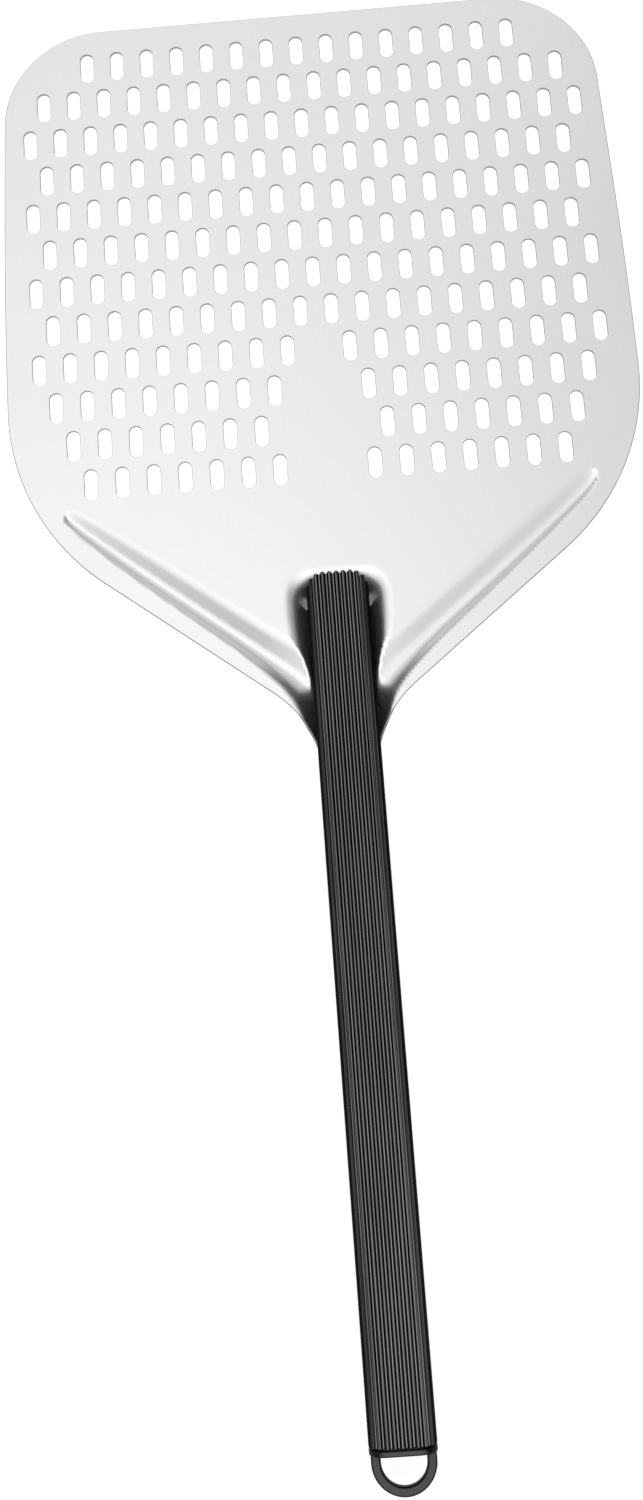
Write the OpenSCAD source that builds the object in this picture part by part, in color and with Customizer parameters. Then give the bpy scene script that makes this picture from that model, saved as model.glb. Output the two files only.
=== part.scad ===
// Perforated pizza peel: a pressed sheet blade, a fluted tube handle, an end cap with a hanging loop,
// and three blind rivets. Lengths are in millimetres and angles in degrees.
// In the modules, y = 0 is the blade's front edge, the handle runs towards -y, and z = 0 is the
// blade's flat upper face. place() then moves every sub-part to the part's own origin: the middle
// of its length, on the surface that it stands on.

/* [Blade outline] */
// Width of the blade at its widest place
blade_w = 302; // [296:1:312]
// Width of the blade just behind its front corners
front_w = 295; // [288:1:296]
// Length from the front edge to the start of the rear corners
side_len = 201; // [195:1:205]
// Radius of the front corners
front_r = 50; // [30:1:60]
// Radius of the rear corners
rear_r = 112; // [108:1:114]
// Angle between the front edge and each shoulder
shoulder_angle = 38; // [36:1:40]
// Half width at which the shoulders turn into the neck
neck_x = 33; // [32:1:36]
// Radius of the hollow curve beside the neck
neck_r = 60; // [56:1:64]
// Length of the sheet from the front edge to the end of its tail under the handle
sheet_len = 382; // [378:1:386]
// Thickness of the sheet
sheet_t = 1.5; // [1:0.1:2]

/* [Perforation] */
// Distance between slots in a row
slot_pitch = 15; // [14:0.5:15]
// Distance between rows of slots, and from the front edge to the first row
row_pitch = 20; // [18:0.5:20]
// Width of a slot
slot_w = 6.4; // [4:0.1:8]
// Length of a slot
slot_len = 15.5; // [10:0.5:16]

/* [Pressed shape] */
// Depth of the trough that the handle lies in
trough_depth = 9.5; // [9.5:0.5:11]
// Width of the trough between its rims, at the front
trough_w = 51; // [49:1:53]
// Distance from the front edge to the trough's front rim
trough_start = 289; // [284:1:291]
// Depth of the stiffening channels
channel_depth = 3.8; // [3:0.2:5]
// Strip of flat sheet left between a channel and the shoulder's edge
channel_margin = 7; // [5:0.5:9]
// Width of a channel's gentle inner flank
inner_flank = 12.5; // [10:0.5:14]
// Width of a channel's steep outer flank
outer_flank = 6.3; // [5:0.1:8]

/* [Handle] */
// Length of the handle tube along its upper side
handle_len = 380; // [340:5:600]
// Distance from the front edge to the tube's front tip
handle_start = 294.5; // [292:0.5:300]
// Width of the tube over its flutes
tube_w = 29; // [28:0.5:30]
// Height of the tube over its flutes
tube_h = 19; // [18:0.5:20]
// Thickness of the tube's wall between flutes
tube_wall = 1.3; // [1:0.1:1.6]
// Radius of a flute's round crest
flute_r = 0.95; // [0.8:0.05:1]
// Angle of the tube's front cut, away from square
cut_angle = 41; // [30:1:45]

/* [End cap] */
// Thickness of the flange that closes the tube
flange_t = 3.2; // [2.4:0.2:4]
// Length of the plug inside the tube
plug_len = 18; // [12:1:30]
// Radius of the loop's outer curve
loop_r = 13.9; // [13:0.1:14]
// Width of the loop's band
loop_band = 4.2; // [3.5:0.1:5]
// Thickness of the loop's band
loop_t = 5; // [4:0.5:8]

/* [Rivets] */
// Diameter of a rivet's shank
rivet_d = 4.8; // [4:0.1:5]
// Diameter of a rivet's head
rivet_head_d = 9.6; // [8:0.1:10]
// Height of a rivet's head
rivet_head_h = 1.2; // [1:0.1:1.6]
// Distance between rivets
rivet_pitch = 20; // [16:1:20]

/* [Hidden] */
$fn = 48;
eps = 0.01;

// First and last half pitch from the centre line of the slots in each row, front row first.
ROW_SPANS = [[0, 14], [1, 17], [0, 18], [1, 17], [0, 18], [1, 17], [0, 18], [1, 17],
             [2, 18], [3, 17], [4, 16], [3, 15]];

// Outline
rear_turn = 90 - shoulder_angle;
shoulder_x = blade_w / 2 - rear_r * (1 - cos(rear_turn));
shoulder_y = -side_len - rear_r * sin(rear_turn);
neck_y = shoulder_y - (shoulder_x - neck_x) * tan(shoulder_angle);
neck_centre = [neck_x + neck_r * sin(shoulder_angle), neck_y - neck_r * cos(shoulder_angle)];
// The sheet is flat as far as this line, and pressed behind it.
form_y = -248;
form_rows = 38;
form_cols = 58;

// Pressed shape
trough_front = 17;
trough_taper = 4.2;
taper_start = 20;
taper_len = 34;
seat_w = 19;
plan_power = 2.6;
// Places along a shoulder are measured from its start, positive towards the neck.
channel_tip = -36;
channel_lens = 110;
tip_shift = 5;
deepening_start = 104;
deepening_len = 22;
narrowing_start = 65;
narrowing_len = 46;
outer_growth = 6;
inner_growth = 5;
// Shares of each pressed flank taken by its upper fillet (shoulder) and its lower fillet (foot).
trough_shoulder = 0.72;
trough_foot = 0.22;
outer_shoulder = 0.18;
outer_foot = 0.6;
inner_shoulder = 0.4;
inner_foot = 0.25;

// Handle
tube_corner = 8;
flute_h = 1.2;
flutes = 24;
tube_z = tube_h / 2 - trough_depth;
handle_end = handle_start + handle_len;
bore_inset = flute_h + tube_wall;

// End cap
loop_straight = 3.5;
plug_gap = 0.1;
plug_wall = 1.8;
overall_len = handle_end + flange_t + loop_straight + loop_r;

// Rivets
rivet_start = handle_start + tube_h * tan(cut_angle) + 11;
rivet_r = rivet_d / 2;
rivet_hole_r = rivet_r + 0.05;
mandrel_r = 1.3;
bulb_r = 3.3;
bulb_h = 2.8;
mandrel_head_r = 2.1;
mandrel_head_h = 1.6;
seat_z = -trough_depth - sheet_t;
tube_floor_z = -trough_depth + bore_inset;

module place() translate([0, overall_len / 2, rivet_head_h - seat_z]) children();

function clamp01(t) = min(1, max(0, t));

// A pressed flank from 0 to 1: a fillet over the first part a, a straight slope, and a fillet over b.
function flank(t, a, b) =
    let (c = clamp01(t), v = 1 / (1 - (a + b) / 2))
    c < a ? v * c * c / (2 * a)
    : c > 1 - b ? 1 - v * (1 - c) * (1 - c) / (2 * b)
    : v * (c - a / 2);

// Half the blade's width at y, behind the front corners.
function half_width(y) =
    y > -side_len ? side_half_width(y)
    : y > shoulder_y ? blade_w / 2 - rear_r + sqrt(rear_r * rear_r - pow(y + side_len, 2))
    : y > neck_y ? shoulder_x - (shoulder_y - y) / tan(shoulder_angle)
    : neck_centre[0] - sqrt(neck_r * neck_r - pow(y - neck_centre[1], 2));

function side_half_width(y) =
    front_w / 2 + (blade_w - front_w) / 2 * sin(90 * (-y - front_r) / (side_len - front_r));

// A smooth step from 0 to 1.
function ease(t) = let (c = clamp01(t)) c * c * (3 - 2 * c);

// Depth of the trough at a point: a pocket with rounded front corners that narrows towards the neck.
function trough_at(x, y) =
    let (run = -trough_start - y,
         rim = trough_w / 2 - trough_taper * ease((run - taper_start) / taper_len),
         a = 1 - clamp01((rim - abs(x)) / (rim - seat_w / 2)),
         b = 1 - clamp01(run / trough_front),
         t = 1 - pow(pow(a, plan_power) + pow(b, plan_power), 1 / plan_power))
    trough_depth * flank(t, trough_shoulder, trough_foot);

// Distance from a point to the blade's edge along the shoulder and the neck.
function edge_inset(x, y) =
    let (s = sin(shoulder_angle), c = cos(shoulder_angle))
    c * (neck_x - abs(x)) + s * (neck_y - y) > 0
    ? norm([abs(x) - neck_centre[0], y - neck_centre[1]]) - neck_r
    : s * (neck_x - abs(x)) - c * (neck_y - y);

// Depth of the stiffening channel at a point. It follows the edge and sinks into the trough at the neck.
function channel_at(x, y) =
    let (along = cos(shoulder_angle) * (shoulder_x - abs(x)) + sin(shoulder_angle) * (shoulder_y - y),
         grow = pow(clamp01((along - channel_tip) / channel_lens), 0.25),
         narrow = pow(min(1.25, max(0, (along - narrowing_start) / narrowing_len)), 2),
         outer = outer_flank + outer_growth * narrow,
         valley = channel_margin * (1 - narrow) + outer + tip_shift * (1 - grow),
         off = edge_inset(x, y) - valley,
         reach = grow * (off < 0 ? outer : inner_flank + inner_growth * narrow),
         sink = (trough_depth - channel_depth) * ease((along - deepening_start) / deepening_len),
         t = 1 - abs(off) / reach)
    grow == 0 ? 0
    : (channel_depth * pow(grow, 1.5) + sink)
        * (off < 0 ? flank(t, outer_shoulder, outer_foot) : flank(t, inner_shoulder, inner_foot));

function sheet_z(x, y) = -max(trough_at(x, y), channel_at(x, y));

// A point on the sheet's lower face, square to the upper face at x, y.
function below(x, y) =
    let (h = 0.2,
         gx = (sheet_z(x + h, y) - sheet_z(x - h, y)) / (2 * h),
         gy = (sheet_z(x, y + h) - sheet_z(x, y - h)) / (2 * h),
         k = sheet_t / norm([gx, gy, 1]))
    [x + gx * k, y + gy * k, sheet_z(x, y) - k];

function arc(centre, r, from, to, steps) =
    [for (i = [0 : steps]) let (a = from + (to - from) * i / steps) centre + r * [cos(a), sin(a)]];

// The right-hand half of the flat part's outline, from the front edge to the pressed part.
function flat_side() = concat(
    arc([front_w / 2 - front_r, -front_r], front_r, 90, 0, 20),
    [for (i = [1 : 6]) let (y = -front_r - (side_len - front_r) * i / 6) [side_half_width(y), y]],
    [for (i = [1 : 8]) let (y = -side_len + (form_y + side_len) * i / 8) [half_width(y), y]]);

module flat_outline() {
    side = flat_side();
    n = len(side);
    polygon(concat(side, [for (i = [0 : n - 1]) [-side[n - 1 - i][0], side[n - 1 - i][1]]]));
}

module slot() {
    straight = slot_len - slot_w;
    square([slot_w, straight], center = true);
    for (end = [-1, 1]) translate([0, end * straight / 2]) circle(d = slot_w);
}

module slots() {
    for (row = [0 : len(ROW_SPANS) - 1], step = [ROW_SPANS[row][0] : 2 : ROW_SPANS[row][1]])
        for (side = step == 0 ? [1] : [-1, 1])
            translate([side * step * slot_pitch / 2, -row_pitch * (row + 1)]) slot();
}

// The pressed rear of the sheet, as one closed surface over a grid that follows the outline.
module pressed_sheet() {
    grid = [for (j = [0 : form_rows], i = [0 : form_cols])
            let (y = form_y + (-sheet_len - form_y) * j / form_rows)
            [half_width(y) * (2 * i / form_cols - 1), y]];
    count = len(grid);
    top = [for (p = grid) [p[0], p[1], sheet_z(p[0], p[1])]];
    bottom = [for (p = grid) below(p[0], p[1])];
    w = form_cols + 1;
    rim = concat([for (i = [0 : form_cols - 1]) i],
                 [for (j = [0 : form_rows - 1]) j * w + form_cols],
                 [for (i = [form_cols : -1 : 1]) form_rows * w + i],
                 [for (j = [form_rows : -1 : 1]) j * w]);
    n = len(rim);
    faces = concat(
        [for (j = [0 : form_rows - 1], i = [0 : form_cols - 1], half = [0, 1])
            let (k = j * w + i)
            half == 0 ? [k, k + 1, k + w] : [k + 1, k + w + 1, k + w]],
        [for (j = [0 : form_rows - 1], i = [0 : form_cols - 1], half = [0, 1])
            let (k = count + j * w + i)
            half == 0 ? [k, k + w, k + 1] : [k + 1, k + w, k + w + 1]],
        [for (i = [0 : n - 1], half = [0, 1])
            let (a = rim[i], b = rim[(i + 1) % n])
            half == 0 ? [a, count + a, b] : [b, count + a, count + b]]);
    polyhedron(concat(top, bottom), faces);
}

module blade() color("silver") place() {
    difference() {
        union() {
            translate([0, 0, -sheet_t]) linear_extrude(sheet_t) difference() {
                flat_outline();
                slots();
            }
            pressed_sheet();
        }
        rivet_holes();
    }
}

module rounded_rect(w, h, r) {
    square([w - 2 * r, h], center = true);
    square([w, h - 2 * r], center = true);
    for (x = [-1, 1], y = [-1, 1]) translate([x * (w / 2 - r), y * (h / 2 - r)]) circle(r);
}

// A point at distance s around a rounded rectangle, clockwise from the middle of its top.
function rim_point(s, w, h, r) =
    let (flat_x = w / 2 - r, flat_y = h / 2 - r, bend = r * PI / 2,
         quarter = flat_x + bend + flat_y,
         q = floor(s / quarter + eps),
         d = s - q * quarter,
         u = q % 2 == 0 ? d : quarter - d,
         angle = clamp01((u - flat_x) / bend) * 90,
         p = [min(u, flat_x) + r * sin(angle), flat_y - max(0, u - flat_x - bend) + r * cos(angle)])
    [q < 2 ? p[0] : -p[0], q == 0 || q == 3 ? p[1] : -p[1]];

module tube_section() {
    crest_w = tube_w - 2 * flute_r;
    crest_h = tube_h - 2 * flute_r;
    crest_r = tube_corner - flute_r;
    around = 2 * (crest_w + crest_h - 4 * crest_r) + 2 * PI * crest_r;
    rounded_rect(tube_w - 2 * flute_h, tube_h - 2 * flute_h, tube_corner - flute_h);
    for (i = [0 : flutes - 1])
        translate(rim_point(around * i / flutes, crest_w, crest_h, crest_r)) circle(flute_r, $fn = 24);
}

// Stands the children's section up in the x-z plane and runs it backwards from y = -start.
module run_back(start, length)
    translate([0, -start, tube_z]) rotate([90, 0, 0]) linear_extrude(length) children();

module handle_tube() color([0.12, 0.12, 0.13]) place() {
    difference() {
        run_back(handle_start, handle_len) difference() {
            tube_section();
            rounded_rect(tube_w - 2 * bore_inset, tube_h - 2 * bore_inset, tube_corner - bore_inset);
        }
        // The oblique front cut, with the tube's upper side furthest forward.
        translate([0, -handle_start, tube_z + tube_h / 2]) rotate([-cut_angle, 0, 0])
            translate([-tube_w, 0, -3 * tube_h]) cube([2 * tube_w, 2 * tube_h, 4 * tube_h]);
        rivet_holes();
    }
}

module loop_outline(r) {
    circle(r, $fn = 96);
    translate([-r, 0]) square([2 * r, loop_straight]);
}

module end_cap() color([0.25, 0.25, 0.26]) place() {
    plug_inset = bore_inset + plug_gap;
    hollow_inset = plug_inset + plug_wall;
    difference() {
        run_back(handle_end - plug_len, plug_len + eps)
            rounded_rect(tube_w - 2 * plug_inset, tube_h - 2 * plug_inset, tube_corner - plug_inset);
        run_back(handle_end - plug_len - 1, plug_len + 1 - flange_t)
            rounded_rect(tube_w - 2 * hollow_inset, tube_h - 2 * hollow_inset, tube_corner - hollow_inset);
    }
    run_back(handle_end, flange_t) rounded_rect(tube_w, tube_h, tube_corner);
    translate([0, -handle_end - flange_t - loop_straight, tube_z - loop_t / 2]) linear_extrude(loop_t)
        difference() {
            loop_outline(loop_r);
            loop_outline(loop_r - loop_band);
        }
}

// The places of the three rivets along the trough, 0 for the front one.
module at_rivet(i) translate([0, -rivet_start - rivet_pitch * i, 0]) children();

module rivet_holes()
    for (i = [0 : 2]) at_rivet(i) translate([0, 0, seat_z - 1])
        cylinder(h = tube_floor_z - seat_z + 2, r = rivet_hole_r);

// A set blind rivet: domed head below the sheet, shank, and the bulb that grips the tube's wall.
module rivet(i) color([0.7, 0.7, 0.72]) place() at_rivet(i) rotate_extrude() polygon(concat(
    [[mandrel_r, seat_z - rivet_head_h]],
    [for (a = [0 : 15 : 75])
        [rivet_head_d / 2 * (0.5 + 0.5 * sin(a)), seat_z - rivet_head_h * cos(a)]],
    [[rivet_head_d / 2, seat_z], [rivet_r, seat_z], [rivet_r, tube_floor_z],
     [bulb_r, tube_floor_z], [bulb_r, tube_floor_z + bulb_h / 2],
     [rivet_r, tube_floor_z + bulb_h], [mandrel_r, tube_floor_z + bulb_h]]));

// The mandrel's stub: its stem fills the rivet and its head sits on the bulb.
module mandrel(i) color([0.45, 0.45, 0.47]) place() at_rivet(i) {
    stem_z = seat_z - rivet_head_h / 2;
    head_z = tube_floor_z + bulb_h;
    translate([0, 0, stem_z]) cylinder(h = head_z - stem_z, r = mandrel_r);
    translate([0, 0, head_z]) cylinder(h = mandrel_head_h, r1 = mandrel_head_r, r2 = mandrel_r);
}

blade();
handle_tube();
end_cap();
rivet(0);  // rivet_front
rivet(1);  // rivet_middle
rivet(2);  // rivet_rear
mandrel(0);  // mandrel_front
mandrel(1);  // mandrel_middle
mandrel(2);  // mandrel_rear
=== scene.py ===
"""Looks of a perforated pizza peel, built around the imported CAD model.

Every CAD node is replaced by a finer mesh in its own place: the pressed sheet with its 206 punched
slots, the fluted tube, the end cap with its hanging loop, and three set blind rivets.
Shapes are worked out in millimetres in the blade's frame, where y = 0 is the blade's front edge,
the handle runs towards -y, and z = 0 is the blade's flat upper face.
"""

import math

import bpy
import numpy as np
from mathutils import Matrix, Vector
from mathutils.geometry import delaunay_2d_cdt


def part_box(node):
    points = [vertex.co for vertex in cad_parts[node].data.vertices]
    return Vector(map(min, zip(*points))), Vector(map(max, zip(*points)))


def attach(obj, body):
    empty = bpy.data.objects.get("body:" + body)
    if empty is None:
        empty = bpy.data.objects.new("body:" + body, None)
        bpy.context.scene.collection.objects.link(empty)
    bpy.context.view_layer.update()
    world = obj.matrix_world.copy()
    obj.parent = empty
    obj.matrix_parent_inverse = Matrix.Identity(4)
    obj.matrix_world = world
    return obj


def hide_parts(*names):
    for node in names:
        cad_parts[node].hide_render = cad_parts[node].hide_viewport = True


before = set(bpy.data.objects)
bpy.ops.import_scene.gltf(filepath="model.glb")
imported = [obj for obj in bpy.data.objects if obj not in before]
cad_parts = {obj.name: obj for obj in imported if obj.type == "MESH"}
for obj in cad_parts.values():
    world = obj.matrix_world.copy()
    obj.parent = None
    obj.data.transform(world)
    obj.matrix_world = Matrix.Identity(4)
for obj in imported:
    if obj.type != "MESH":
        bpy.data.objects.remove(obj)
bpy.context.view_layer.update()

MM = 0.001

# ---------------------------------------------------------------- dimensions, from the frame
blade_low, blade_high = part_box("blade")
tube_low, tube_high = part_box("handle_tube")
cap_low, cap_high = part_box("end_cap")
rivet_boxes = {name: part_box("rivet_" + name) for name in ("front", "middle", "rear")}
mandrel_boxes = {name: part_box("mandrel_" + name) for name in ("front", "middle", "rear")}

FRONT_Y = blade_high.y
TOP_Z = blade_high.z


def mm_y(y):
    """A row-frame y in metres, in the blade's frame."""
    return (y - FRONT_Y) / MM


def mm_z(z):
    return (z - TOP_Z) / MM


# Blade
SHEET_T = 1.5
BLADE_W = (blade_high.x - blade_low.x) / MM
SHEET_LEN = -mm_y(blade_low.y)
TROUGH_DEPTH = -mm_z(blade_low.z) - SHEET_T
FRONT_W = 295.0
FRONT_R = 50.0
SIDE_LEN = 201.0
REAR_R = 112.0
SHOULDER = math.radians(38)
NECK_X = 33.0
NECK_R = 60.0
EDGE_ROUND = 0.4

SLOT_PITCH = 15.0
ROW_PITCH = 20.0
SLOT_W = 6.4
SLOT_LEN = 15.5
SLOT_ROUND = 0.22
# First and last half pitch from the centre line of the slots in each row, front row first.
ROW_SPANS = [(0, 14), (1, 17), (0, 18), (1, 17), (0, 18), (1, 17), (0, 18), (1, 17),
             (2, 18), (3, 17), (4, 16), (3, 15)]

# The pressed shape, behind this line
FORM_Y = -248.0
TROUGH_START = 289.0
TROUGH_W = 51.0
TROUGH_FRONT = 17.0
TROUGH_TAPER = 4.2
TAPER_START = 20.0
TAPER_LEN = 34.0
SEAT_W = 19.0
PLAN_POWER = 2.6
# Shares of each pressed flank taken by its upper fillet (shoulder) and its lower fillet (foot).
TROUGH_SHOULDER, TROUGH_FOOT = 0.72, 0.22
OUTER_SHOULDER, OUTER_FOOT = 0.18, 0.6
INNER_SHOULDER, INNER_FOOT = 0.4, 0.25
CHANNEL_DEPTH = 3.8
CHANNEL_MARGIN = 7.0
INNER_FLANK = 12.5
OUTER_FLANK = 6.3
CHANNEL_TIP = -36.0
CHANNEL_LENS = 110.0
TIP_SHIFT = 5.0
DEEPENING_START = 104.0
DEEPENING_LEN = 22.0
NARROWING_START = 65.0
NARROWING_LEN = 46.0
FLANK_GROWTH = 6.0
INNER_GROWTH = 5.0

SHOULDER_X = BLADE_W / 2 - REAR_R * (1 - math.sin(SHOULDER))
SHOULDER_Y = -SIDE_LEN - REAR_R * math.cos(SHOULDER)
NECK_Y = SHOULDER_Y - (SHOULDER_X - NECK_X) * math.tan(SHOULDER)
NECK_CENTRE = (NECK_X + NECK_R * math.sin(SHOULDER), NECK_Y - NECK_R * math.cos(SHOULDER))

# Rivet holes through the blade and the tube
RIVET_HOLE_R = 2.45
# Turns the tube's drilled holes, in degrees, so that none of their points falls on one of the tube's.
HOLE_TURN = 2.0

# Handle tube
TUBE_W = (tube_high.x - tube_low.x) / MM
TUBE_H = (tube_high.z - tube_low.z) / MM
TUBE_Z = (mm_z(tube_high.z) + mm_z(tube_low.z)) / 2
TUBE_START = mm_y(tube_high.y)
TUBE_END = mm_y(tube_low.y)
TUBE_CORNER = 8.0
TUBE_WALL = 1.3
FLUTES = 24
FLUTE_H = 1.2
FLUTE_SLOPE = math.radians(60)
CREST_R = 0.95
# How bright a painted highlight the fluted tube gets along its crests and its valleys, and how much of it
# its broad sides keep, from 0 to 1.
CREST_PAINTED_HIGHLIGHT = 0.6
VALLEY_PAINTED_HIGHLIGHT = 0.95
SIDE_PAINTED_HIGHLIGHT = 0.25
CREST_INSET = 0.95
CUT = math.radians(41)

# End cap
CAP_FRONT = mm_y(cap_high.y)
CAP_END = mm_y(cap_low.y)
FLANGE_T = 3.2
LOOP_R = 13.9
LOOP_BAND = 4.2
LOOP_T = 5.0


# Camera: its focal length for the frame's long side, its place in metres, and its directions
FOCAL_PX = 1600
FRAME_PX = 1500
SENSOR_MM = 36.0
CAMERA_X, CAMERA_Y, CAMERA_HEIGHT = 0.0018, -0.1724, 0.7147
CAMERA_LOOK = (-0.020, 0.197, -0.980)
CAMERA_UP = (0.077, 0.978, 0.195)


# ---------------------------------------------------------------- mesh helpers
def place(points):
    """Points in millimetres in the blade's frame, as row-frame metres."""
    return np.asarray(points, float) * MM + np.array([0.0, FRONT_Y, TOP_Z])


def make_piece(name, points, faces, node, material, normals=None, sharp_deg=None, tone=None):
    """A mesh piece from points in millimetres, riding on the root body in its CAD node's place.
    tone says how much of its material's painted light or shade each point has, from 0 to 1."""
    mesh = bpy.data.meshes.new(name)
    mesh.from_pydata(place(points).tolist(), [], faces)
    mesh.validate()
    mesh.shade_smooth()
    if normals is not None:
        mesh.normals_split_custom_set_from_vertices(normals)
    if sharp_deg is not None:
        mesh.set_sharp_from_angle(angle=math.radians(sharp_deg))
    if tone is not None:
        mesh.attributes.new("tone", "FLOAT", "POINT").data.foreach_set("value", np.asarray(tone, float))
    piece = bpy.data.objects.new(name, mesh)
    bpy.context.scene.collection.objects.link(piece)
    mesh.materials.append(material)
    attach(piece, "root")
    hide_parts(node)
    return piece


def unit(v):
    return v / np.maximum(np.linalg.norm(v, axis=-1, keepdims=True), 1e-12)


def loop_normals(loop):
    """Outward directions at the points of a counter-clockwise closed loop."""
    ahead = np.roll(loop, -1, 0) - np.roll(loop, 1, 0)
    return unit(np.c_[ahead[:, 1], -ahead[:, 0]])


def arc_points(centre, r, start_deg, end_deg, steps):
    a = np.radians(np.linspace(start_deg, end_deg, steps + 1))
    return np.c_[centre[0] + r * np.cos(a), centre[1] + r * np.sin(a)]


def quads(ring_a, ring_b):
    """Faces between two closed rings of vertex numbers with the same count."""
    n = len(ring_a)
    return [(ring_a[i], ring_a[(i + 1) % n], ring_b[(i + 1) % n], ring_b[i]) for i in range(n)]


# ---------------------------------------------------------------- the sheet's shape
def flank(t, a, b):
    """A pressed flank from 0 to 1: a fillet over the first part a, a slope, a fillet over b."""
    c = np.clip(t, 0, 1)
    v = 1 / (1 - (a + b) / 2)
    return np.where(c < a, v * c * c / (2 * a),
                    np.where(c > 1 - b, 1 - v * (1 - c) ** 2 / (2 * b), v * (c - a / 2)))


def half_width(y):
    """Half the blade's width at each y behind the front corners."""
    y = np.asarray(y, float)
    side = FRONT_W / 2 + (BLADE_W - FRONT_W) / 2 * np.sin(
        math.pi / 2 * (-y - FRONT_R) / (SIDE_LEN - FRONT_R))
    corner = BLADE_W / 2 - REAR_R + np.sqrt(np.maximum(REAR_R ** 2 - (y + SIDE_LEN) ** 2, 0))
    shoulder = SHOULDER_X - (SHOULDER_Y - y) / math.tan(SHOULDER)
    neck = NECK_CENTRE[0] - np.sqrt(np.maximum(NECK_R ** 2 - (y - NECK_CENTRE[1]) ** 2, 0))
    return np.where(y > -SIDE_LEN, side,
                    np.where(y > SHOULDER_Y, corner, np.where(y > NECK_Y, shoulder, neck)))


def ease(t):
    c = np.clip(t, 0, 1)
    return c * c * (3 - 2 * c)


def trough_depth(x, y):
    run = -TROUGH_START - y
    rim = TROUGH_W / 2 - TROUGH_TAPER * ease((run - TAPER_START) / TAPER_LEN)
    a = 1 - np.clip((rim - np.abs(x)) / (rim - SEAT_W / 2), 0, 1)
    b = 1 - np.clip(run / TROUGH_FRONT, 0, 1)
    t = 1 - (a ** PLAN_POWER + b ** PLAN_POWER) ** (1 / PLAN_POWER)
    return TROUGH_DEPTH * flank(t, TROUGH_SHOULDER, TROUGH_FOOT)


def channel_depth(x, y):
    s, c = math.sin(SHOULDER), math.cos(SHOULDER)
    ax = np.abs(x)
    along = c * (SHOULDER_X - ax) + s * (SHOULDER_Y - y)
    to_line = s * (NECK_X - ax) - c * (NECK_Y - y)
    to_arc = np.hypot(ax - NECK_CENTRE[0], y - NECK_CENTRE[1]) - NECK_R
    inset = np.where(c * (NECK_X - ax) + s * (NECK_Y - y) > 0, to_arc, to_line)
    grow = np.clip((along - CHANNEL_TIP) / CHANNEL_LENS, 0, 1) ** 0.25
    narrow = np.clip((along - NARROWING_START) / NARROWING_LEN, 0, 1.25) ** 2
    outer = OUTER_FLANK + FLANK_GROWTH * narrow
    valley = CHANNEL_MARGIN * (1 - narrow) + outer + TIP_SHIFT * (1 - grow)
    off = inset - valley
    reach = np.maximum(grow, 1e-6) * np.where(off < 0, outer, INNER_FLANK + INNER_GROWTH * narrow)
    deepening = (TROUGH_DEPTH - CHANNEL_DEPTH) * ease((along - DEEPENING_START) / DEEPENING_LEN)
    t = 1 - np.abs(off) / reach
    outer, inner = flank(t, OUTER_SHOULDER, OUTER_FOOT), flank(t, INNER_SHOULDER, INNER_FOOT)
    return (CHANNEL_DEPTH * grow ** 1.5 + deepening) * np.where(off < 0, outer, inner)


def sheet_z(x, y):
    """Height of the sheet's upper face, with the channels blended into the trough."""
    a, b = trough_depth(x, y), channel_depth(x, y)
    k = np.clip(np.minimum(0.8 * np.minimum(a, b), 4 * (TROUGH_DEPTH - np.maximum(a, b))), 1e-6, 1.5)
    h = np.clip(0.5 + 0.5 * (a - b) / k, 0, 1)
    return -(b + (a - b) * h + k * h * (1 - h))


def sheet_normals(x, y):
    h = 0.05
    gx = (sheet_z(x + h, y) - sheet_z(x - h, y)) / (2 * h)
    gy = (sheet_z(x, y + h) - sheet_z(x, y - h)) / (2 * h)
    return unit(np.c_[-gx, -gy, np.ones_like(gx)])


# ---------------------------------------------------------------- blade
def blade_outline():
    """The whole outline as a counter-clockwise loop."""
    corner = arc_points((FRONT_W / 2 - FRONT_R, -FRONT_R), FRONT_R, 90, 0, 48)
    side_y = np.linspace(-FRONT_R, -SIDE_LEN, 26)[1:]
    rear_y = np.linspace(-SIDE_LEN, -SHEET_LEN, 122)[1:]
    right = np.r_[corner, np.c_[half_width(side_y), side_y], np.c_[half_width(rear_y), rear_y]]
    tail_x = np.linspace(right[-1, 0], 0, 9)[1:]
    right = np.r_[right, np.c_[tail_x, np.full_like(tail_x, -SHEET_LEN)]]
    left = right[-2::-1] * [-1, 1]
    return np.r_[right, left][::-1]


def slot_centres():
    places = []
    for row, (first, last) in enumerate(ROW_SPANS):
        for step in range(first, last + 1, 2):
            for side in ((1,) if step == 0 else (-1, 1)):
                places.append((side * step * SLOT_PITCH / 2, -ROW_PITCH * (row + 1)))
    return np.array(places)


def slot_loop(centre, r):
    straight = (SLOT_LEN - SLOT_W) / 2
    top = arc_points((centre[0], centre[1] + straight), r, 0, 180, 14)
    bottom = arc_points((centre[0], centre[1] - straight), r, 180, 360, 14)
    return np.r_[top, bottom]


def inside_polygon(p, polygon):
    inside = np.zeros(len(p), bool)
    for a, b in zip(polygon, np.roll(polygon, -1, 0)):
        crosses = (a[1] > p[:, 1]) != (b[1] > p[:, 1])
        if a[1] != b[1]:
            inside ^= crosses & (p[:, 0] < (b[0] - a[0]) * (p[:, 1] - a[1]) / (b[1] - a[1]) + a[0])
    return inside


def edge_profile(r, steps):
    """(offset, depth) pairs of a rounded sheet edge below its first ring, down to the lower face."""
    up = [(r * math.sin(a), r * (1 - math.cos(a))) for a in np.linspace(0, math.pi / 2, steps + 1)[1:]]
    return up + [(o, SHEET_T - d) for o, d in up[::-1]] + [(0.0, SHEET_T)]


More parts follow.
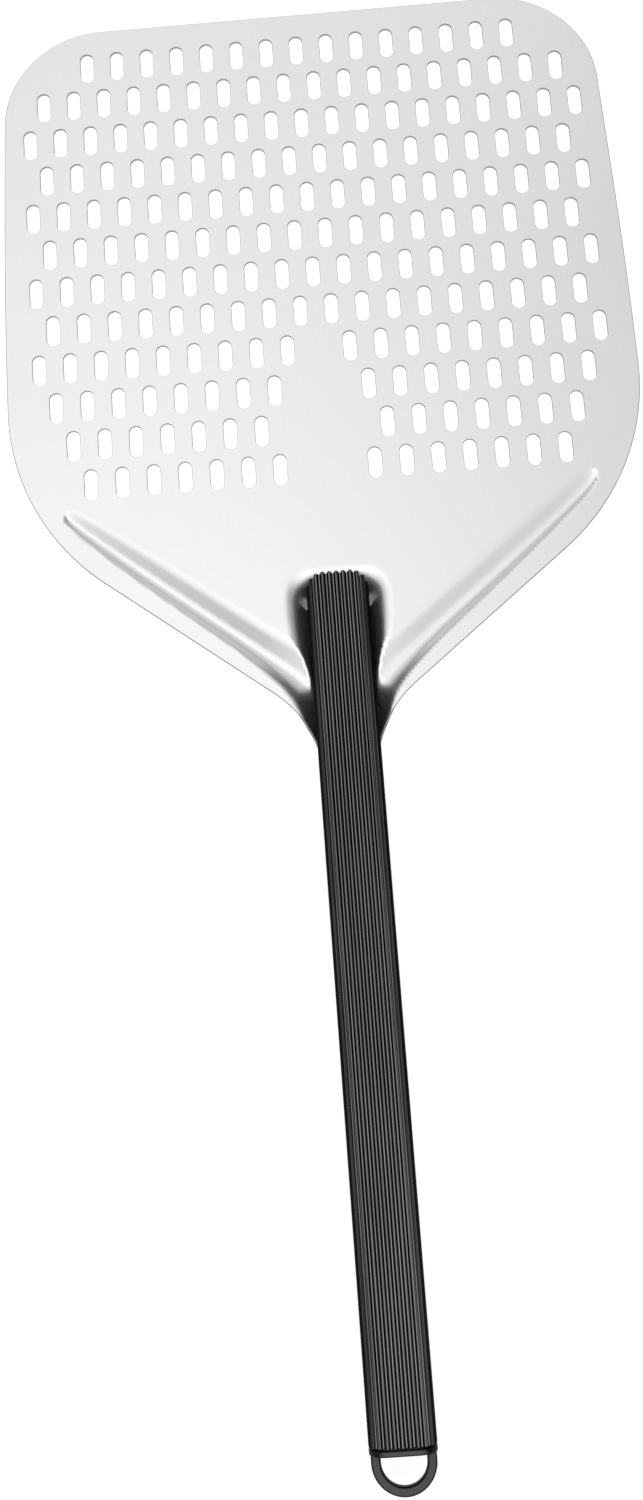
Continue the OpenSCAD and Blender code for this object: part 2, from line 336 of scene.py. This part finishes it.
def build_blade(material):
    outline = blade_outline()
    centres = slot_centres()
    rivets = [(0.0, mm_y((low.y + high.y) / 2)) for low, high in rivet_boxes.values()]

    # Each boundary: the loop on the upper face, the direction towards the air, its edge profile.
    boundaries = []
    away = loop_normals(outline)
    boundaries.append((outline - EDGE_ROUND * away, away, edge_profile(EDGE_ROUND, 4)))
    slot_edge = edge_profile(SLOT_ROUND, 2)
    for centre in centres:
        loop = slot_loop(centre, SLOT_W / 2 + SLOT_ROUND)
        boundaries.append((loop, -loop_normals(loop), slot_edge))
    for centre in rivets:
        loop = arc_points(centre, RIVET_HOLE_R + SLOT_ROUND, 0, 360, 32)[:-1]
        boundaries.append((loop, -loop_normals(loop), slot_edge))

    # Fill points: fine over the pressed part, coarse over the flat part.
    step = 1.5
    gx, gy = np.meshgrid(np.arange(-BLADE_W / 2, BLADE_W / 2, step), np.arange(-SHEET_LEN, FORM_Y, step))
    fill = np.c_[gx.ravel(), gy.ravel()]
    gx, gy = np.meshgrid(np.arange(-BLADE_W / 2 + 3.5, BLADE_W / 2, 7.5), np.arange(FORM_Y + 5, 0, 10.0))
    fill = np.r_[fill, np.c_[gx.ravel(), gy.ravel()]]
    margin = outline - (EDGE_ROUND + 0.7) * away
    keep = inside_polygon(fill, margin)
    straight = (SLOT_LEN - SLOT_W) / 2
    for centre in centres:
        dy = np.maximum(np.abs(fill[:, 1] - centre[1]) - straight, 0)
        keep &= np.hypot(fill[:, 0] - centre[0], dy) > SLOT_W / 2 + 1.2
    for centre in rivets:
        keep &= np.hypot(fill[:, 0] - centre[0], fill[:, 1] - centre[1]) > RIVET_HOLE_R + 0.9
    fill = fill[keep]

    points, edges, starts = [], [], []
    count = 0
    for loop, _, _ in boundaries:
        n = len(loop)
        starts.append(count)
        points.append(loop)
        edges += [(count + i, count + (i + 1) % n) for i in range(n)]
        count += n
    points = np.r_[np.concatenate(points), fill]
    out, _, tris, source, _, _ = delaunay_2d_cdt(
        [Vector(p) for p in points.tolist()], edges, [], 0, 1e-5)
    flat = np.array([(v.x, v.y) for v in out])
    tris = np.array([t for t in tris if len(t) == 3])
    number = {old: new for new, olds in enumerate(source) for old in olds}

    # Keep the triangles on the sheet.
    mid = flat[tris].mean(1)
    on_sheet = inside_polygon(mid, boundaries[0][0])
    for centre in centres:
        dy = np.maximum(np.abs(mid[:, 1] - centre[1]) - straight, 0)
        on_sheet &= np.hypot(mid[:, 0] - centre[0], dy) > SLOT_W / 2 + SLOT_ROUND * 0.9
    for centre in rivets:
        on_sheet &= np.hypot(mid[:, 0] - centre[0], mid[:, 1] - centre[1]) > RIVET_HOLE_R + SLOT_ROUND * 0.9
    tris = tris[on_sheet]

    upper = np.c_[flat, sheet_z(flat[:, 0], flat[:, 1])]
    up = sheet_normals(flat[:, 0], flat[:, 1])
    lower = upper - up * SHEET_T
    verts, normals = [upper, lower], [up, -up]
    base = len(flat)
    faces = tris.tolist() + (tris[:, ::-1] + base).tolist()
    total = 2 * base
    # Painted shade: the points of the rounded edges get tone 1, which darkens them in the material.
    painted_edge_shade = [np.zeros(total)]
    for start, (loop, direction, profile) in zip(starts, boundaries):
        ids = np.array([number[start + i] for i in range(len(loop))])
        n = up[ids]
        side = np.c_[direction, np.zeros(len(ids))]
        side = unit(side - n * (side * n).sum(1, keepdims=True))
        # A ring of the outline runs counter-clockwise and a hole's ring does too, seen from above.
        hole = start != 0
        radius = max(offset for offset, _ in profile)
        above = ids
        for offset, depth in profile:
            if depth == SHEET_T:
                ring = ids + base
            else:
                ring = np.arange(total, total + len(ids))
                total += len(ids)
                verts.append(upper[ids] + side * offset - n * depth)
                painted_edge_shade.append(np.ones(len(ids)))
                tilt = 1 - 2 * depth / SHEET_T
                slope = offset / radius
                rise = math.copysign(math.sqrt(max(1 - slope ** 2, 0)), tilt)
                normals.append(unit(side * slope + n * rise))
            faces += quads(above, ring) if hole else quads(ring, above)
            above = ring
    return make_piece("blade_sheet", np.concatenate(verts), faces, "blade",
                      material, normals=np.concatenate(normals), tone=np.concatenate(painted_edge_shade))


# ---------------------------------------------------------------- handle tube
def rounded_rect(t, w, h, r):
    """Points and outward directions at the shares t of the way round a rounded rectangle."""
    flat_x, flat_y, bend = w / 2 - r, h / 2 - r, r * math.pi / 2
    quarter = flat_x + bend + flat_y
    s = np.mod(t, 1.0) * 4 * quarter
    q = np.minimum(np.floor(s / quarter), 3)
    d = s - q * quarter
    u = np.where(q % 2 == 0, d, quarter - d)
    angle = np.clip((u - flat_x) / bend, 0, 1) * math.pi / 2
    n = np.c_[np.sin(angle), np.cos(angle)]
    p = np.c_[np.minimum(u, flat_x), flat_y - np.maximum(u - flat_x - bend, 0)] + r * n
    sign = np.c_[np.where(q < 2, 1, -1), np.where((q == 0) | (q == 3), 1, -1)]
    return p * sign, n * sign


def flute_wave(pitch):
    """One flute as shares of its pitch and depths below the crest: a round crest, a straight
    flank and a round valley."""
    s, c = math.sin(FLUTE_SLOPE), math.cos(FLUTE_SLOPE)
    # The two radii and the flank add up to half the pitch across and to the flute's height down.
    radii = (pitch / 2 - FLUTE_H * c / s) / (s - (1 - c) * c / s)
    valley_r = radii - CREST_R
    half = []
    for a in np.linspace(0, 1, 7) * FLUTE_SLOPE:
        half.append((CREST_R * math.sin(a), CREST_R * (1 - math.cos(a))))
    for a in np.linspace(1, 0, 7) * FLUTE_SLOPE:
        half.append((pitch / 2 - valley_r * math.sin(a), FLUTE_H - valley_r * (1 - math.cos(a))))
    half = np.array(half)
    other = half[-2:0:-1] * [-1, 1] + [pitch, 0]
    wave = np.r_[half, other]
    return wave[:, 0] / pitch, wave[:, 1]


def solid_object(points, faces):
    mesh = bpy.data.meshes.new("work")
    mesh.from_pydata([tuple(p) for p in points], [], faces)
    mesh.validate()
    obj = bpy.data.objects.new("work", mesh)
    bpy.context.scene.collection.objects.link(obj)
    return obj


def add_boolean(obj, other, operation):
    modifier = obj.modifiers.new("boolean", "BOOLEAN")
    modifier.operation = operation
    modifier.solver = "EXACT"
    modifier.object = other


def evaluated_mesh(obj):
    bpy.context.view_layer.update()
    return bpy.data.meshes.new_from_object(obj.evaluated_get(bpy.context.evaluated_depsgraph_get()))


def drill(points, faces, tone):
    """The tube with a hole through its floor for each rivet, as points, faces and tones."""
    tube = solid_object(points, faces)
    tube.data.attributes.new("tone", "FLOAT", "POINT").data.foreach_set("value", tone)
    floor_z = TUBE_Z - TUBE_H / 2
    tools = []
    for low, high in rivet_boxes.values():
        centre = (0.0, mm_y((low.y + high.y) / 2))
        ring = arc_points(centre, RIVET_HOLE_R, HOLE_TURN, HOLE_TURN + 360, 48)[:-1]
        n = len(ring)
        ends = [np.c_[ring, np.full(n, z)] for z in (floor_z - 1, floor_z + FLUTE_H + TUBE_WALL + 1)]
        sides = quads(np.arange(n), np.arange(n, 2 * n))
        caps = [tuple(range(n - 1, -1, -1)), tuple(range(n, 2 * n))]
        tools.append(solid_object(np.concatenate(ends), sides + caps))
        add_boolean(tube, tools[-1], "DIFFERENCE")
    mesh = evaluated_mesh(tube)
    points = np.array([v.co[:] for v in mesh.vertices])
    faces = [tuple(f.vertices) for f in mesh.polygons]
    tone = np.array([d.value for d in mesh.attributes["tone"].data])
    for obj in [tube, *tools]:
        bpy.data.objects.remove(obj)
    return points, faces, tone


def build_tube(material):
    w, h, r = TUBE_W - 2 * CREST_INSET, TUBE_H - 2 * CREST_INSET, TUBE_CORNER - CREST_INSET
    perimeter = 2 * (w + h) - (8 - 2 * math.pi) * r
    share, wave = flute_wave(perimeter / FLUTES)
    n = FLUTES * len(share)
    t = ((np.arange(FLUTES)[:, None] + share) / FLUTES).ravel()
    path, out = rounded_rect(t, w, h, r)
    outer = path + out * (CREST_INSET - np.tile(wave, FLUTES))[:, None]
    inset = FLUTE_H + TUBE_WALL
    inner, inner_out = rounded_rect(t, TUBE_W - 2 * inset, TUBE_H - 2 * inset, TUBE_CORNER - inset)

    edge = 0.2
    wave_slope = np.roll(outer, -1, 0) - np.roll(outer, 1, 0)
    outer_dir = unit(np.c_[-wave_slope[:, 1], wave_slope[:, 0]])
    outer_dir *= np.sign((outer_dir * out).sum(1, keepdims=True))

    def front_y(section):
        return TUBE_START - (TUBE_H / 2 - section[:, 1]) * math.tan(CUT)

    def ring(section, y):
        return np.c_[section[:, 0], np.broadcast_to(y, len(section)), section[:, 1] + TUBE_Z]

    outer_face = outer - outer_dir * edge
    inner_face = inner + inner_out * edge
    stations = np.linspace(TUBE_START - 22, TUBE_END + 8, 16)
    rings = [ring(inner, TUBE_END), ring(inner, front_y(inner) - edge),
             ring(inner_face, front_y(inner_face)), ring(outer_face, front_y(outer_face)),
             ring(outer, front_y(outer) - edge)]
    rings += [ring(outer, y) for y in stations]
    rings += [ring(outer, TUBE_END + edge), ring(outer_face, TUBE_END), ring(inner_face, TUBE_END)]
    # Painted highlight: a lighter colour along each crest and each valley, falling off down the flanks.
    height = np.cos(math.pi * wave / FLUTE_H)
    painted_highlight = np.tile(np.where(height > 0, CREST_PAINTED_HIGHLIGHT, VALLEY_PAINTED_HIGHLIGHT) * np.abs(height) ** 5, FLUTES)
    # Painted shade: the broad sides get less of the painted highlight than the top and the underside.
    painted_highlight *= SIDE_PAINTED_HIGHLIGHT + (1 - SIDE_PAINTED_HIGHLIGHT) * ease((np.abs(out[:, 1]) - 0.3) / 0.7)
    painted_highlight = np.tile(painted_highlight, len(rings))
    faces = []
    for k in range(len(rings) - 1):
        a = np.arange(k * n, (k + 1) * n)
        faces += quads(a + n, a)
    # The last ring closes on the first across the rear end.
    faces += quads(np.arange(n), np.arange((len(rings) - 1) * n, len(rings) * n))
    points, faces, painted_highlight = drill(np.concatenate(rings), faces, painted_highlight)
    return make_piece("fluted_tube", points, faces, "handle_tube",
                      material, sharp_deg=42, tone=painted_highlight)


# ---------------------------------------------------------------- end cap
def cap_body():
    """The plug and flange, as one closed loft of rounded rectangles."""
    n = 96
    t = np.arange(n) / n
    flange_front = TUBE_END
    flange_rear = TUBE_END - FLANGE_T
    plug_inset = FLUTE_H + TUBE_WALL + 0.1
    hollow = plug_inset + 1.8
    # (inset from the tube's outline, y): the rear face, the flange, a groove, the plug and its hollow.
    profile = [(1.6, flange_rear), (0.75, flange_rear), (0.4, flange_rear + 0.09),
               (0.12, flange_rear + 0.35), (0.0, flange_rear + 0.7),
               (0.0, flange_front - 1.15), (0.12, flange_front - 0.9),
               (0.45, flange_front - 0.8), (1.7, flange_front - 0.75), (1.8, flange_front - 0.65),
               (1.8, flange_front),
               (plug_inset, flange_front), (plug_inset, CAP_FRONT - 0.8), (plug_inset + 0.5, CAP_FRONT),
               (hollow - 0.3, CAP_FRONT), (hollow, CAP_FRONT - 0.4), (hollow, flange_front + FLANGE_T)]
    rings = []
    for inset, y in profile:
        p, _ = rounded_rect(t, TUBE_W - 2 * inset, TUBE_H - 2 * inset, TUBE_CORNER - inset)
        rings.append(np.c_[p[:, 0], np.full(n, y), p[:, 1] + TUBE_Z])
    faces = []
    for k in range(len(rings) - 1):
        a = np.arange(k * n, (k + 1) * n)
        faces += quads(a + n, a)
    last = (len(rings) - 1) * n
    faces.append(tuple(range(n)))
    faces.append(tuple(range(last + n - 1, last - 1, -1)))
    return solid_object(np.concatenate(rings), faces)


def loop_body():
    """The D-shaped hanging loop: a band of rounded section swept round its path."""
    mid_r = LOOP_R - LOOP_BAND / 2
    centre_y = CAP_END + LOOP_R
    start_y = TUBE_END - FLANGE_T + 1.2
    straight = np.linspace(start_y, centre_y, 5)[:-1]
    arc = arc_points((0, centre_y), mid_r, 0, -180, 72)
    path = np.r_[np.c_[np.full(4, mid_r), straight], arc, np.c_[np.full(4, -mid_r), straight[::-1]]]
    out = np.r_[np.tile([1.0, 0.0], (4, 1)), unit(arc - [0, centre_y]), np.tile([-1.0, 0.0], (4, 1))]
    corner = 1.15
    half_w, half_t = LOOP_BAND / 2 - corner, LOOP_T / 2 - corner
    section = []
    corners = ((half_w, half_t), (-half_w, half_t), (-half_w, -half_t), (half_w, -half_t))
    for (cx, cz), start in zip(corners, (0, 90, 180, 270)):
        section.append(arc_points((cx, cz), corner, start, start + 90, 5))
    section = np.concatenate(section)
    m = len(section)
    points = [np.c_[p[0] + section[:, 0] * o[0], p[1] + section[:, 0] * o[1], section[:, 1] + TUBE_Z]
              for p, o in zip(path, out)]
    faces = []
    for k in range(len(path) - 1):
        a = np.arange(k * m, (k + 1) * m)
        faces += quads(a, a + m)
    last = (len(path) - 1) * m
    faces.append(tuple(range(m - 1, -1, -1)))
    faces.append(tuple(range(last, last + m)))
    return solid_object(np.concatenate(points), faces)


def join_solids(first, second):
    """The union of two work solids as points, faces and each point's upward normal."""
    for obj in (first, second):
        fix = obj.modifiers.new("weld", "WELD")
        fix.merge_threshold = 1e-4
    add_boolean(first, second, "UNION")
    mesh = evaluated_mesh(first)
    points = np.array([v.co[:] for v in mesh.vertices])
    faces = [tuple(p.vertices) for p in mesh.polygons]
    up = np.array([v.normal.z for v in mesh.vertices])
    for obj in (first, second):
        bpy.data.objects.remove(obj)
    return points, faces, up


def build_cap(material):
    points, faces, up = join_solids(cap_body(), loop_body())
    # The tone is a painted highlight on the faces that look up or down, read from their normals; the
    # rounded sides stay darker as painted shade.
    return make_piece("hanging_end_cap", points, faces, "end_cap", material,
                      sharp_deg=38, tone=ease((np.abs(up) - 0.84) / 0.14))


# ---------------------------------------------------------------- rivets
def centre_and_span(low, high):
    """A rivet part's centre, its lowest and highest z, and the radius of its head."""
    centre = (0.0, mm_y((low.y + high.y) / 2))
    return centre, mm_z(low.z), mm_z(high.z), (high.x - low.x) / MM / 2


def lathe(profile, centre_xy, segments=64):
    """Points and faces of a closed solid turned about a vertical axis. profile is (r, z) pairs."""
    rings, faces, numbers = [], [], []
    total = 0
    a = np.arange(segments) * 2 * math.pi / segments
    for r, z in profile:
        if r == 0:
            rings.append(np.array([[centre_xy[0], centre_xy[1], z]]))
            numbers.append(np.full(segments, total))
            total += 1
        else:
            x, y = centre_xy[0] + r * np.cos(a), centre_xy[1] + r * np.sin(a)
            rings.append(np.c_[x, y, np.full(segments, z)])
            numbers.append(np.arange(total, total + segments))
            total += segments
    closed = profile[0][0] != 0
    pairs = list(zip(numbers, numbers[1:])) + ([(numbers[-1], numbers[0])] if closed else [])
    for low, high in pairs:
        for face in quads(low, high):
            corners = list(dict.fromkeys(int(i) for i in face))
            if len(corners) > 2:
                faces.append(tuple(corners))
    return np.concatenate(rings), faces


def build_rivet(name, material):
    centre, bottom, top, head_r = centre_and_span(*rivet_boxes[name])
    seat = -TROUGH_DEPTH - SHEET_T
    head_h = seat - bottom
    bore, shank, bulb, bulb_h = 1.3, 2.4, 3.3, 2.8
    bulb_low = top - bulb_h
    dome = [(head_r * (0.52 + 0.48 * math.sin(a)), seat - head_h * math.cos(a) * 0.97)
            for a in np.radians(np.arange(0, 90, 9))]
    profile = [(bore, bottom + 0.35), (bore + 0.25, bottom + 0.06), (bore + 0.55, bottom)]
    profile += [(2.1, bottom + 0.01)] + dome
    profile += [(head_r, seat - 0.12), (head_r - 0.1, seat), (shank, seat), (shank, bulb_low),
                (bulb - 0.3, bulb_low + 0.02), (bulb, bulb_low + 0.5), (bulb - 0.1, bulb_low + 1.5),
                (shank + 0.1, top - 0.15), (shank - 0.2, top), (bore, top)]
    points, faces = lathe(profile, centre)
    return make_piece("rivet_shell_" + name, points, faces, "rivet_" + name,
                      material, sharp_deg=40)


def build_mandrel(name, material):
    centre, bottom, top, head_r = centre_and_span(*mandrel_boxes[name])
    stem, head_h = 1.28, 1.6
    head_low = top - head_h
    profile = [(0, bottom + 0.12), (0.45, bottom + 0.05), (0.8, bottom + 0.16),
               (stem - 0.2, bottom + 0.02),
               (stem, bottom + 0.2), (stem, head_low), (head_r - 0.1, head_low), (head_r, head_low + 0.12),
               (head_r - 0.15, top - 0.9), (1.5, top - 0.15), (1.25, top), (0, top)]
    points, faces = lathe(profile, centre, 48)
    return make_piece("mandrel_stub_" + name, points, faces, "mandrel_" + name,
                      material, sharp_deg=40)


# ---------------------------------------------------------------- materials
class Nodes:
    """A short way to build a node material around one Principled shader."""

    def __init__(self, name):
        self.material = bpy.data.materials.new(name)
        self.material.use_nodes = True
        self.tree = self.material.node_tree
        self.shader = self.tree.nodes["Principled BSDF"]
        self.coords = self.tree.nodes.new("ShaderNodeTexCoord").outputs["Object"]

    def set(self, **values):
        for key, value in values.items():
            self.shader.inputs[key.replace("_", " ")].default_value = value

    def link(self, source, socket):
        self.tree.links.new(source, self.shader.inputs[socket])

    def noise(self, scale, detail=3.0, roughness=0.5):
        """Noise with its own scale along each axis, in features per metre."""
        mapping = self.tree.nodes.new("ShaderNodeMapping")
        mapping.inputs["Scale"].default_value = scale
        self.tree.links.new(self.coords, mapping.inputs["Vector"])
        noise = self.tree.nodes.new("ShaderNodeTexNoise")
        noise.inputs["Scale"].default_value = 1.0
        noise.inputs["Detail"].default_value = detail
        noise.inputs["Roughness"].default_value = roughness
        self.tree.links.new(mapping.outputs["Vector"], noise.inputs["Vector"])
        return noise.outputs["Fac"]

    def tone(self):
        node = self.tree.nodes.new("ShaderNodeAttribute")
        node.attribute_name = "tone"
        return node.outputs["Fac"]

    def span(self, value, low, high, from_low=0.3, from_high=0.7):
        node = self.tree.nodes.new("ShaderNodeMapRange")
        node.inputs["From Min"].default_value = from_low
        node.inputs["From Max"].default_value = from_high
        node.inputs["To Min"].default_value = low
        node.inputs["To Max"].default_value = high
        self.tree.links.new(value, node.inputs["Value"])
        return node.outputs["Result"]

    def add(self, a, b, operation="ADD"):
        node = self.tree.nodes.new("ShaderNodeMath")
        node.operation = operation
        for socket, value in zip(node.inputs, (a, b)):
            if isinstance(value, (int, float)):
                socket.default_value = value
            else:
                self.tree.links.new(value, socket)
        return node.outputs["Value"]

    def mix(self, factor, a, b):
        node = self.tree.nodes.new("ShaderNodeMix")
        node.data_type = "RGBA"
        for socket, colour in zip(node.inputs[6:8], (a, b)):
            if isinstance(colour, tuple):
                socket.default_value = (*colour, 1)
            else:
                self.tree.links.new(colour, socket)
        self.tree.links.new(factor, node.inputs[0])
        return node.outputs[2]

    def bump(self, height, strength, distance):
        node = self.tree.nodes.new("ShaderNodeBump")
        node.inputs["Strength"].default_value = strength
        node.inputs["Distance"].default_value = distance
        self.tree.links.new(height, node.inputs["Height"])
        self.link(node.outputs["Normal"], "Normal")


def satin_aluminium():
    """Clear anodised sheet: a fine rolled grain along the blade and soft cloudy differences.
    Its rounded edges, round the slots and the outline, are duller, and are painted dark grey as painted
    shade."""
    m = Nodes("satin_aluminium")
    m.set(Metallic=1.0)
    cloud = m.noise((14, 10, 14), 4)
    grain = m.noise((2600, 90, 2600), 3)
    speck = m.noise((5200, 5200, 5200), 2)
    sheet = m.mix(m.span(m.add(m.add(cloud, 0.6, "MULTIPLY"), m.add(grain, 0.4, "MULTIPLY")), 0, 1),
                  (0.84, 0.84, 0.838), (0.89, 0.89, 0.887))
    # Painted shade: the rounded edges take a dark grey in place of the sheet's colour.
    edge = m.mix(m.span(speck, 0, 1), (0.28, 0.28, 0.28), (0.38, 0.38, 0.38))
    m.link(m.mix(m.tone(), sheet, edge), "Base Color")
    dull = m.add(m.tone(), 0.12, "MULTIPLY")
    m.link(m.add(m.add(m.span(cloud, 0.3, 0.36), m.span(grain, -0.03, 0.03)), dull), "Roughness")
    m.bump(m.add(grain, speck), 0.12, 0.00002)
    return m.material


def black_anodised():
    """Black anodised extrusion: die lines along the tube, and a painted highlight, a lighter colour along
    the crests and valleys.
    """
    m = Nodes("black_anodised")
    m.set(Metallic=1.0, Specular_Tint=(0.1, 0.1, 0.1, 1))
    lines = m.noise((3600, 14, 3600), 3)
    cloud = m.noise((40, 12, 40), 3)
    wear = m.add(m.span(lines, 0.6, 1.3), m.span(cloud, 0.85, 1.15), "MULTIPLY")
    # Painted highlight: the tone lightens the black along the crests and valleys, broken up by the die
    # lines and clouds.
    painted_highlight = m.add(m.tone(), wear, "MULTIPLY")
    m.link(m.mix(painted_highlight, (0.006, 0.006, 0.006), (0.27, 0.27, 0.27)), "Base Color")
    m.link(m.add(m.span(lines, 0.12, 0.2), m.span(cloud, -0.02, 0.03)), "Roughness")
    m.bump(lines, 0.15, 0.00003)
    return m.material


def moulded_plastic():
    """Charcoal moulded plastic with spark-eroded matt faces; the flat faces are painted lighter as a
    painted highlight and the rounded sides darker as painted shade.
    """
    m = Nodes("moulded_plastic")
    fine = m.noise((4200, 4200, 4200), 2)
    cloud = m.noise((160, 160, 160), 3)
    face = m.tone()
    # Painted highlight and shade from the face tone, with a random mottle from the cloud noise.
    painted_highlight_and_mottle = m.add(face, m.span(cloud, -0.12, 0.12))
    m.link(m.mix(painted_highlight_and_mottle, (0.004, 0.004, 0.004), (0.075, 0.075, 0.076)), "Base Color")
    m.link(m.span(face, 0.06, 0.5, 0, 1), "Specular IOR Level")
    m.link(m.add(m.span(fine, 0.32, 0.46), m.add(face, 0.1, "MULTIPLY")), "Roughness")
    m.bump(fine, 0.25, 0.00005)
    return m.material


def plain_metal(name, dark, light, rough_low, rough_high):
    """Small turned parts: fine random wear and specks."""
    m = Nodes(name)
    m.set(Metallic=1.0)
    fine = m.noise((2400, 2400, 2400), 3)
    cloud = m.noise((320, 320, 320), 3)
    m.link(m.mix(m.span(cloud, 0, 1), dark, light), "Base Color")
    m.link(m.span(fine, rough_low, rough_high), "Roughness")
    m.bump(fine, 0.2, 0.00004)
    return m.material


def floor_material():
    """A white studio sweep that gives a little light, so that it stays pale under the blade."""
    m = Nodes("white_sweep")
    m.set(Roughness=0.7, Emission_Color=(1, 1, 1, 1), Emission_Strength=0.85)
    tone = m.noise((3, 3, 3), 3)
    m.link(m.mix(m.span(tone, 0, 1), (0.36, 0.36, 0.36), (0.4, 0.4, 0.4)), "Base Color")
    return m.material


# ---------------------------------------------------------------- studio
def add_floor():
    size = 4.0
    mesh = bpy.data.meshes.new("floor")
    corners = [(-size, -size, 0), (size, -size, 0), (size, size, 0), (-size, size, 0)]
    mesh.from_pydata(corners, [], [(0, 1, 2, 3)])
    floor = bpy.data.objects.new("floor", mesh)
    bpy.context.scene.collection.objects.link(floor)
    mesh.materials.append(floor_material())


def add_panel(name, place_m, size_m, radiance):
    """A soft panel with an even radiance, turned towards the blade."""
    light = bpy.data.lights.new(name, "AREA")
    light.shape = "RECTANGLE"
    light.size, light.size_y = size_m
    light.energy = radiance * math.pi * size_m[0] * size_m[1]
    panel = bpy.data.objects.new(name, light)
    panel.location = place_m
    aim = Vector((0.0, 0.1, 0.0)) - Vector(place_m)
    panel.rotation_euler = aim.to_track_quat("-Z", "Y").to_euler()
    bpy.context.scene.collection.objects.link(panel)


# Soft glows of the light tent: direction, full and zero half angles in degrees, radiance.
TENT_BASE = 0.10
TENT_GLOWS = [
    ((-0.25, 0.0, 1.0), 10, 42, 0.68),
    ((-0.15, 0.80, 1.0), 14, 46, 0.48),
    ((0.60, -0.40, 1.0), 10, 40, 0.50),
    ((0.0, -0.50, 1.0), 8, 40, 0.55),
    ((0.0, 1.0, 0.5), 14, 40, 0.30),
    ((0.50, 0.90, 0.6), 10, 40, 0.10),
    ((0.0, 0.0, -1.0), 90, 110, 0.45),
]


def add_tent():
    """A light tent round the object, as a world with a few soft glows in fixed directions."""
    world = bpy.data.worlds.new("light_tent")
    world.use_nodes = True
    tree = world.node_tree
    direction = tree.nodes.new("ShaderNodeTexCoord").outputs["Generated"]
    total = None
    for toward, full, zero, radiance in TENT_GLOWS:
        dot = tree.nodes.new("ShaderNodeVectorMath")
        dot.operation = "DOT_PRODUCT"
        dot.inputs[1].default_value = Vector(toward).normalized()
        tree.links.new(direction, dot.inputs[0])
        glow = tree.nodes.new("ShaderNodeMapRange")
        glow.interpolation_type = "SMOOTHSTEP"
        glow.inputs["From Min"].default_value = math.cos(math.radians(zero))
        glow.inputs["From Max"].default_value = math.cos(math.radians(full))
        glow.inputs["To Max"].default_value = radiance
        tree.links.new(dot.outputs["Value"], glow.inputs["Value"])
        add = tree.nodes.new("ShaderNodeMath")
        add.inputs[0].default_value = TENT_BASE
        if total is not None:
            tree.links.new(total, add.inputs[0])
        tree.links.new(glow.outputs["Result"], add.inputs[1])
        total = add.outputs["Value"]
    background = tree.nodes["Background"]
    background.inputs["Color"].default_value = (1, 1, 1, 1)
    tree.links.new(total, background.inputs["Strength"])
    bpy.context.scene.world = world


def add_studio():
    add_tent()
    add_panel("key_panel", (-0.55, 0.05, 2.0), (1.3, 1.3), 0.1)
    bpy.context.scene.view_settings.view_transform = "Standard"


def add_camera():
    data = bpy.data.cameras.new("camera")
    data.lens = FOCAL_PX * SENSOR_MM / FRAME_PX
    data.clip_start = 0.01
    camera = bpy.data.objects.new("camera", data)
    look = Vector(CAMERA_LOOK).normalized()
    right = look.cross(Vector(CAMERA_UP)).normalized()
    up = right.cross(look)
    camera.location = (CAMERA_X, CAMERA_Y, TOP_Z + CAMERA_HEIGHT)
    camera.rotation_mode = "QUATERNION"
    camera.rotation_quaternion = Matrix((right, up, -look)).transposed().to_quaternion()
    bpy.context.scene.collection.objects.link(camera)
    bpy.context.scene.camera = camera


add_camera()
build_blade(satin_aluminium())
build_tube(black_anodised())
build_cap(moulded_plastic())
rivet_metal = plain_metal("rivet_aluminium", (0.62, 0.625, 0.63), (0.78, 0.785, 0.79), 0.28, 0.45)
mandrel_metal = plain_metal("mandrel_steel", (0.3, 0.3, 0.31), (0.48, 0.48, 0.49), 0.35, 0.55)
for which in ("front", "middle", "rear"):
    build_rivet(which, rivet_metal)
    build_mandrel(which, mandrel_metal)
add_floor()
add_studio()
